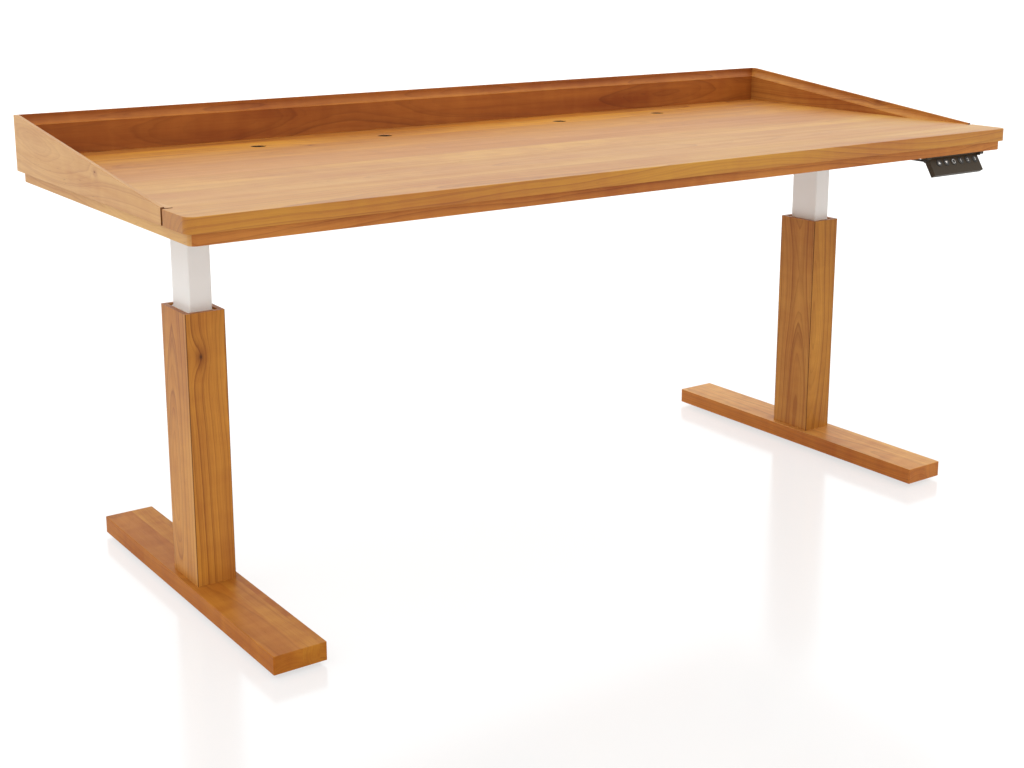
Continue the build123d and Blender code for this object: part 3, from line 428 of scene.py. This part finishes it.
# ---------------------------------------------------------------- posts
# Four upright cherry boards, mitred round each column and glued, with a fine dark line at the mitres.
post_tones = {"light": (208, 142, 56), "deep": (176, 108, 42), "ring": (118, 58, 20)}
gold_tones = {"light": (206, 144, 58), "deep": (172, 110, 42), "ring": (124, 66, 22)}
side_tones = {"light": (204, 144, 68), "deep": (168, 102, 46), "ring": (128, 66, 30)}
mitre_line = 0.0009
for side, board, order, log, pith, tones, knot, knot_size in (
    ("left", "front", "ZXY", 0.15, (0.0, 0.05, 0.03), post_tones, (0.1675, -0.011, -0.004), 0.0035),
    ("left", "back", "ZXY", 0.26, (0.0, 0.004, -0.045), post_tones, no_knot, no_knot_size),
    ("left", "outer", "ZYX", 0.38, (0.0, 0.006, 0.042), side_tones, no_knot, no_knot_size),
    ("left", "inner", "ZYX", 0.52, (0.0, 0.0, -0.045), post_tones, no_knot, no_knot_size),
    ("right", "front", "ZXY", 0.71, (0.0, -0.03, 0.035), gold_tones, no_knot, no_knot_size),
    ("right", "back", "ZXY", 0.82, (0.0, 0.004, -0.045), post_tones, no_knot, no_knot_size),
    ("right", "outer", "ZYX", 0.94, (0.0, 0.0, -0.045), post_tones, no_knot, no_knot_size),
    ("right", "inner", "ZYX", 1.08, (0.0, -0.004, 0.04), side_tones, no_knot, no_knot_size),
):
    node = f"{side}_post_{board}"
    low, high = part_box(node)
    width_axis = "XYZ".index(order[1])
    half_board = (high[width_axis] - low[width_axis]) / 2
    dress(node, wood(f"{node}_cherry", order, middle(node), log, pith, figure=1.2, knot=knot,
                     knot_size=knot_size, mitre=half_board - mitre_line, **from_screen(tones)))

# ---------------------------------------------------------------- lifting columns
# Two steel tubes slide in a third, powder coated white, on white plastic glides. The screws inside
# are ground steel, and their nuts are brass.
white_steel = finished("white_powder_coat", rgb(240, 238, 235), 0.42, 1400.0, 0.02, 0.00006)
white_plastic = finished("white_glide", rgb(234, 231, 225), 0.5, 900.0, 0.03, 0.00004)
plain_steel = finished("plain_steel", rgb(168, 166, 162), 0.34, 900.0, 0.12, 0.00003, Metallic=1.0)
for stage in ("inner", "mid", "outer"):
    for side in ("left", "right"):
        dress(f"{side}_{stage}_tube", white_steel)
for node in ("left_mid_glide", "right_mid_glide", "outer_glides"):
    dress(node, white_plastic)
for node in ("fixed_screws", "left_hollow_screw", "right_hollow_screw", "left_drive_rod", "right_drive_rod"):
    dress(node, plain_steel)
dress("lift_nuts", brass)

# ---------------------------------------------------------------- steel frame and motors
# Folded brackets and two box-section beams carry the top; a motor hangs behind each gearbox.
cast_alloy = finished("cast_alloy", rgb(128, 128, 126), 0.5, 700.0, 0.1, 0.00012, Metallic=0.8)
black_steel = finished("black_powder_coat", rgb(44, 43, 42), 0.5, 1400.0, 0.1, 0.00006)
for node in ("left_side_bracket", "right_side_bracket", "front_crossbeam", "rear_crossbeam"):
    dress(node, white_steel)
dress("gearboxes", cast_alloy)
dress("motors", black_steel)

# ---------------------------------------------------------------- desktop
# The top is glued up from planks that run its whole length, each from a log of its own.
top_low, top_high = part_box("top_board")
top_middle = middle("top_board")
top_tones = from_screen({"light": (214, 150, 84), "deep": (186, 122, 56), "ring": (140, 74, 28)})
# Painted shade: the top's upright edges are tinted darker and more orange than its face, where less light
# falls on them.
top_edge_shade = (0.92, 0.79, 0.30, 1.0)
top_material = wood("top_planks", "XYZ", top_middle, 0.0, (0.0, 0.02, -0.09), figure=0.55,
                    knot=(-0.404, 0.2264, 0.0127), knot_size=0.003, shine=0.5, side=top_edge_shade, **top_tones)
plank_edges = (0.0, 0.136, 0.351, 0.472, 0.654, 0.822, 0.93)  # shares of the top's depth, from the front
plank_logs = (0.31, 0.83, 0.12, 0.67, 0.45, 0.94, 0.05)
# The two back planks' deeper, more saturated orange is partly their own tone and partly painted shade and
# reflection of the gallery behind them.
plank_tones = [rgb(204, 153, 66), rgb(204, 154, 72), rgb(212, 162, 76), rgb(202, 142, 66),
               rgb(210, 150, 62), rgb(228, 162, 56), rgb(210, 134, 38)]
plank_figures = (0.95, 0.5, 0.5, 0.6, 0.8, 1.3, 1.3)
plank_piths = ((0.0, -0.045), (0.24, 0.09), (0.40, -0.07), (0.60, 0.1),
               (0.72, -0.09), (0.80, -0.06), (0.97, 0.05))
front_half, back_half = top_low[1] - top_middle[1], top_high[1] - top_middle[1]
dress("top_board", staves(top_material, front_half, back_half, plank_edges, plank_logs,
                          plank_tones, plank_figures, plank_piths))

# A dark brown sleeve sits in each of the four cable holes, just below the top's surface: painted shade for
# the holes' walls, which lie in deep shade.
hole_shade_brown = finished("hole_shade_brown", rgb(52, 24, 10), 0.5, 900.0, 0.2, 0.00004)
shade_sleeve_outer, shade_sleeve_inner, shade_sleeve_steps = 0.0149, 0.0141, 64
shade_sleeve_top, shade_sleeve_foot = top_high[2] - 0.0012, top_high[2] - 0.0230
hole_row = 0.265
shade_sleeve_loops = ((shade_sleeve_outer, shade_sleeve_top), (shade_sleeve_outer, shade_sleeve_foot),
               (shade_sleeve_inner, shade_sleeve_foot), (shade_sleeve_inner, shade_sleeve_top))
shade_sleeve_turns = [2 * math.pi * i / shade_sleeve_steps for i in range(shade_sleeve_steps)]
points, faces = [], []
for hole_x in (-0.4901, -0.2107, 0.2287, 0.5081):
    start = len(points)
    for radius, z in shade_sleeve_loops:
        points += [(hole_x + radius * math.cos(turn), hole_row + radius * math.sin(turn), z)
                   for turn in shade_sleeve_turns]
    for loop in range(len(shade_sleeve_loops)):
        here = start + loop * shade_sleeve_steps
        beyond = start + (loop + 1) % len(shade_sleeve_loops) * shade_sleeve_steps
        for i in range(shade_sleeve_steps):
            j = (i + 1) % shade_sleeve_steps
            faces.append((here + i, here + j, beyond + j, beyond + i))
shade_sleeves = new_object("cable_hole_liners", points, faces, hole_shade_brown)
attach(shade_sleeves, "desktop")

# ---------------------------------------------------------------- rails
# Four boards, mitred and glued under the top's edge to make it look twice as thick. The left one is paler:
# partly its own tone, partly painted light from the left.
rail_tones = {"light": (200, 130, 58), "deep": (166, 92, 38), "ring": (108, 46, 18)}
left_lit_tones = {"light": (214, 168, 102), "deep": (192, 138, 80), "ring": (158, 94, 46)}
rail_pith = (0.0, 0.015, -0.06)
for node, order, log, tones in (
    ("front_rail", "XYZ", 0.21, rail_tones),
    ("back_rail", "XYZ", 0.57, rail_tones),
    ("left_rail", "YXZ", 0.39, left_lit_tones),
    ("right_rail", "YXZ", 0.74, rail_tones),
):
    dress(node, wood(f"{node}_cherry", order, middle(node), log, rail_pith, figure=0.8, **from_screen(tones)))

# ---------------------------------------------------------------- gallery
# A low fence of cherry boards let into the top's back and sides, with a cove along its inner edge.
gallery_tones = {"light": (202, 130, 56), "deep": (162, 88, 34), "ring": (110, 52, 18)}
right_tones = {"light": (220, 158, 76), "deep": (176, 104, 44), "ring": (122, 60, 24)}
# Painted shade: the back and right boards' upright faces are tinted darker, for the shade on the gallery's
# inner faces.
gallery_face_shade = (0.72, 0.62, 0.58, 1.0)
# The boards' end faces are darker end grain, and are darkened further as painted shade for the gap at each
# side board's tip.
gallery_end_grain_shade = (0.32, 0.22, 0.17, 1.0)


def knot_at(node, y, z, through):
    """A knot of a side board as a place from the board's middle, given where it lies in the frame."""
    centre = middle(node)
    return y - centre[1], z - centre[2], through


dress("back_gallery", wood("back_gallery_cherry", "XZY", middle("back_gallery"), 0.62, (0.0, 0.01, 0.05),
                           figure=0.9, side=gallery_face_shade, end=gallery_end_grain_shade, **from_screen(gallery_tones)))
dress("right_gallery", wood("right_gallery_cherry", "YZX", middle("right_gallery"), 0.27, (0.0, -0.2, 0.02),
                            figure=1.0, side=gallery_face_shade, end=gallery_end_grain_shade,
                            knot=knot_at("right_gallery", -0.036, 0.7835, -0.003), knot_size=0.003,
                            **from_screen(right_tones)))
# The left board takes the paler tones: partly its own tone, partly painted light from the left.
dress("left_gallery", wood("left_gallery_cherry", "YZX", middle("left_gallery"), 0.49, (0.0, 0.02, -0.06),
                           figure=0.8, end=gallery_end_grain_shade, shine=0.35,
                           knot=knot_at("left_gallery", -0.0214, 0.7772, -0.0095), knot_size=0.0018,
                           **from_screen(left_lit_tones)))

# ---------------------------------------------------------------- control box, leads and screws
# A black moulded box under the top feeds both motors and the handset by leads held in clips.
black_plastic = finished("black_plastic", rgb(38, 37, 36), 0.55, 1100.0, 0.12, 0.00008)
lead_rubber = finished("lead_rubber", rgb(30, 30, 30), 0.6, 900.0, 0.1, 0.00005)
black_oxide = finished("black_oxide", rgb(46, 45, 44), 0.42, 1200.0, 0.1, 0.00002, Metallic=0.8)
zinc = finished("zinc_plate", rgb(196, 192, 178), 0.3, 1200.0, 0.10, 0.00002, Metallic=1.0)
for node in ("control_box_case", "control_box_lid", "lead_clips"):
    dress(node, black_plastic)
for node in ("motor_leads", "handset_lead"):
    dress(node, lead_rubber)


def fastener_places(node):
    """Each screw of a group, from the node's mesh: its axis, its head's lower face and its tip."""
    loose = bmesh.new()
    loose.from_mesh(bpy.data.objects[node].data)
    # The node's faces don't share corners until they are welded.
    bmesh.ops.remove_doubles(loose, verts=loose.verts, dist=0.00001)
    left, places = set(loose.verts), []
    while left:
        first = left.pop()
        found, waiting = [first], [first]
        while waiting:
            for edge in waiting.pop().link_edges:
                for vert in edge.verts:
                    if vert in left:
                        left.discard(vert)
                        found.append(vert)
                        waiting.append(vert)
        xs, ys, zs = ([vert.co[axis] for vert in found] for axis in range(3))
        places.append(((min(xs) + max(xs)) / 2, (min(ys) + max(ys)) / 2, min(zs), max(zs)))
    loose.free()
    return sorted(places)


def cross_recess(angle, size):
    """How far a cross recess reaches from its middle at this angle."""
    nearest = abs((angle + math.pi / 4) % (math.pi / 2) - math.pi / 4)
    arm = size * 0.26
    return size / math.cos(nearest) if math.tan(nearest) < arm / size else arm / math.sin(nearest)


def hex_recess(angle, size):
    """How far a hexagonal socket reaches from its middle at this angle."""
    return size / math.cos(angle % (math.pi / 3) - math.pi / 6)


def fasteners(name, node, body, material, head_radius, head_tall, shank_radius, crown, recess, recess_size,
              recess_depth):
    """Turns every screw of a group with a crowned head and a recess, and puts them in the node's place."""
    steps = 48
    shade_angle = math.radians(35.0)
    points, faces = [], []
    for x, y, low, high in fastener_places(node):
        profile = (  # from the tip down to the head, then up into the recess
            (None, shank_radius * 0.15, high),
            (None, shank_radius, high - 2.2 * shank_radius),
            (None, shank_radius, low + head_tall),
            (None, head_radius * 0.97, low + head_tall),
            (None, head_radius, low + head_tall * 0.9),
            (None, head_radius, low + crown),
            (None, head_radius * 0.9, low + crown * 0.35),
            (None, head_radius * 0.72, low),
            (recess, recess_size, low),
            (recess, recess_size * 0.94, low + recess_depth * 0.8),
            (recess, recess_size * 0.6, low + recess_depth),
        )
        start = len(points)
        for shape, radius, z in profile:
            for step in range(steps):
                angle = 2 * math.pi * step / steps
                reach_out = shape(angle, radius) if shape else radius
                points.append((x + reach_out * math.cos(angle), y + reach_out * math.sin(angle), z))
        for loop in range(len(profile) - 1):
            first = start + loop * steps
            for step in range(steps):
                a, b = first + step, first + (step + 1) % steps
                faces.append((a, a + steps, b + steps, b))
        faces.append(tuple(range(start, start + steps)))
        faces.append(tuple(reversed(range(len(points) - steps, len(points)))))
    made = new_object(name, points, faces, material)
    for polygon in made.data.polygons:
        polygon.use_smooth = len(polygon.vertices) == 4
    made.data.set_sharp_from_angle(angle=shade_angle)
    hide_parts(node)
    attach(made, body)


fasteners("pan_head_screws", "wood_screws", "desktop", black_oxide, head_radius=0.0045, head_tall=0.003,
          shank_radius=0.002, crown=0.0009, recess=cross_recess, recess_size=0.0023, recess_depth=0.0016)
fasteners("socket_head_bolts", "foot_bolts", "base", zinc, head_radius=0.0065, head_tall=0.008,
          shank_radius=0.004, crown=0.0006, recess=hex_recess, recess_size=0.003, recess_depth=0.004)

# ---------------------------------------------------------------- handset
# A dark moulded panel under the front edge, its face tipped up, with six round keys and white marks.
panel_plastic = finished("panel_plastic", rgb(58, 46, 28), 0.5, 1500.0, 0.10, 0.00007,
                         Specular_IOR_Level=0.3)
button_black = finished("button_black", rgb(40, 37, 33), 0.42, 1500.0, 0.1, 0.00003)
circuit_green = finished("circuit_green", rgb(24, 78, 46), 0.45, 500.0, 0.2, 0.00004)
mark_white = finished("mark_white", rgb(244, 242, 236), 0.5, 900.0, 0.04, 0.00001)
dress("handset_housing", panel_plastic)
dress("handset_cover", panel_plastic)
dress("handset_board", circuit_green)
face_tilt = math.radians(32.0)
face_up = Vector((0.0, math.sin(face_tilt), math.cos(face_tilt)))
face_out = Vector((0.0, -math.cos(face_tilt), math.sin(face_tilt)))
mark_proud = 0.00005
digit_size = 0.0092
digit_thick = 0.00002
# Each mark on a key's face in millimetres: its outer outline, and an inner one where it is open.
turns = [2 * math.pi * step / 48 for step in range(48)]
mark_outlines = {
    "up": ([(-3.5, -2.6), (3.5, -2.6), (0.0, 3.4)], None),
    "down": ([(-3.5, 2.6), (0.0, -3.4), (3.5, 2.6)], None),
    "ring": ([(4.7 * math.cos(t), 4.7 * math.sin(t)) for t in turns],
             [(3.9 * math.cos(t), 3.9 * math.sin(t)) for t in turns]),
}
for number, shape in enumerate(("up", "down", "ring", "1", "2", "3"), start=1):
    key = f"button_{number}"
    dress(key, button_black)
    key_mesh = bpy.data.objects[key].data
    front = max(v.co.dot(face_out) for v in key_mesh.vertices)
    rim = [v.co for v in key_mesh.vertices if v.co.dot(face_out) > front - 0.00002]
    centre = sum(rim, Vector()) / len(rim) + face_out * mark_proud
    if shape in mark_outlines:
        outer, inner = mark_outlines[shape]
        sides = len(outer)
        points = [centre + Vector((1, 0, 0)) * (x / 1000) + face_up * (y / 1000)
                  for x, y in outer + (inner or [])]
        if inner is None:
            faces = [tuple(range(sides))]
        else:
            faces = [(i, (i + 1) % sides, sides + (i + 1) % sides, sides + i) for i in range(sides)]
        mark = new_object(f"{key}_mark", points, faces, mark_white)
    else:
        text = bpy.data.curves.new(f"{key}_mark", "FONT")
        text.body = shape
        text.size = digit_size
        text.align_x = "CENTER"
        text.align_y = "CENTER"
        text.extrude = digit_thick
        text.materials.append(mark_white)
        mark = bpy.data.objects.new(f"{key}_mark", text)
        facing = Matrix((Vector((1, 0, 0)), face_up, face_out)).transposed().to_4x4()
        mark.matrix_world = Matrix.Translation(centre) @ facing
        scene.collection.objects.link(mark)
    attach(mark, key)
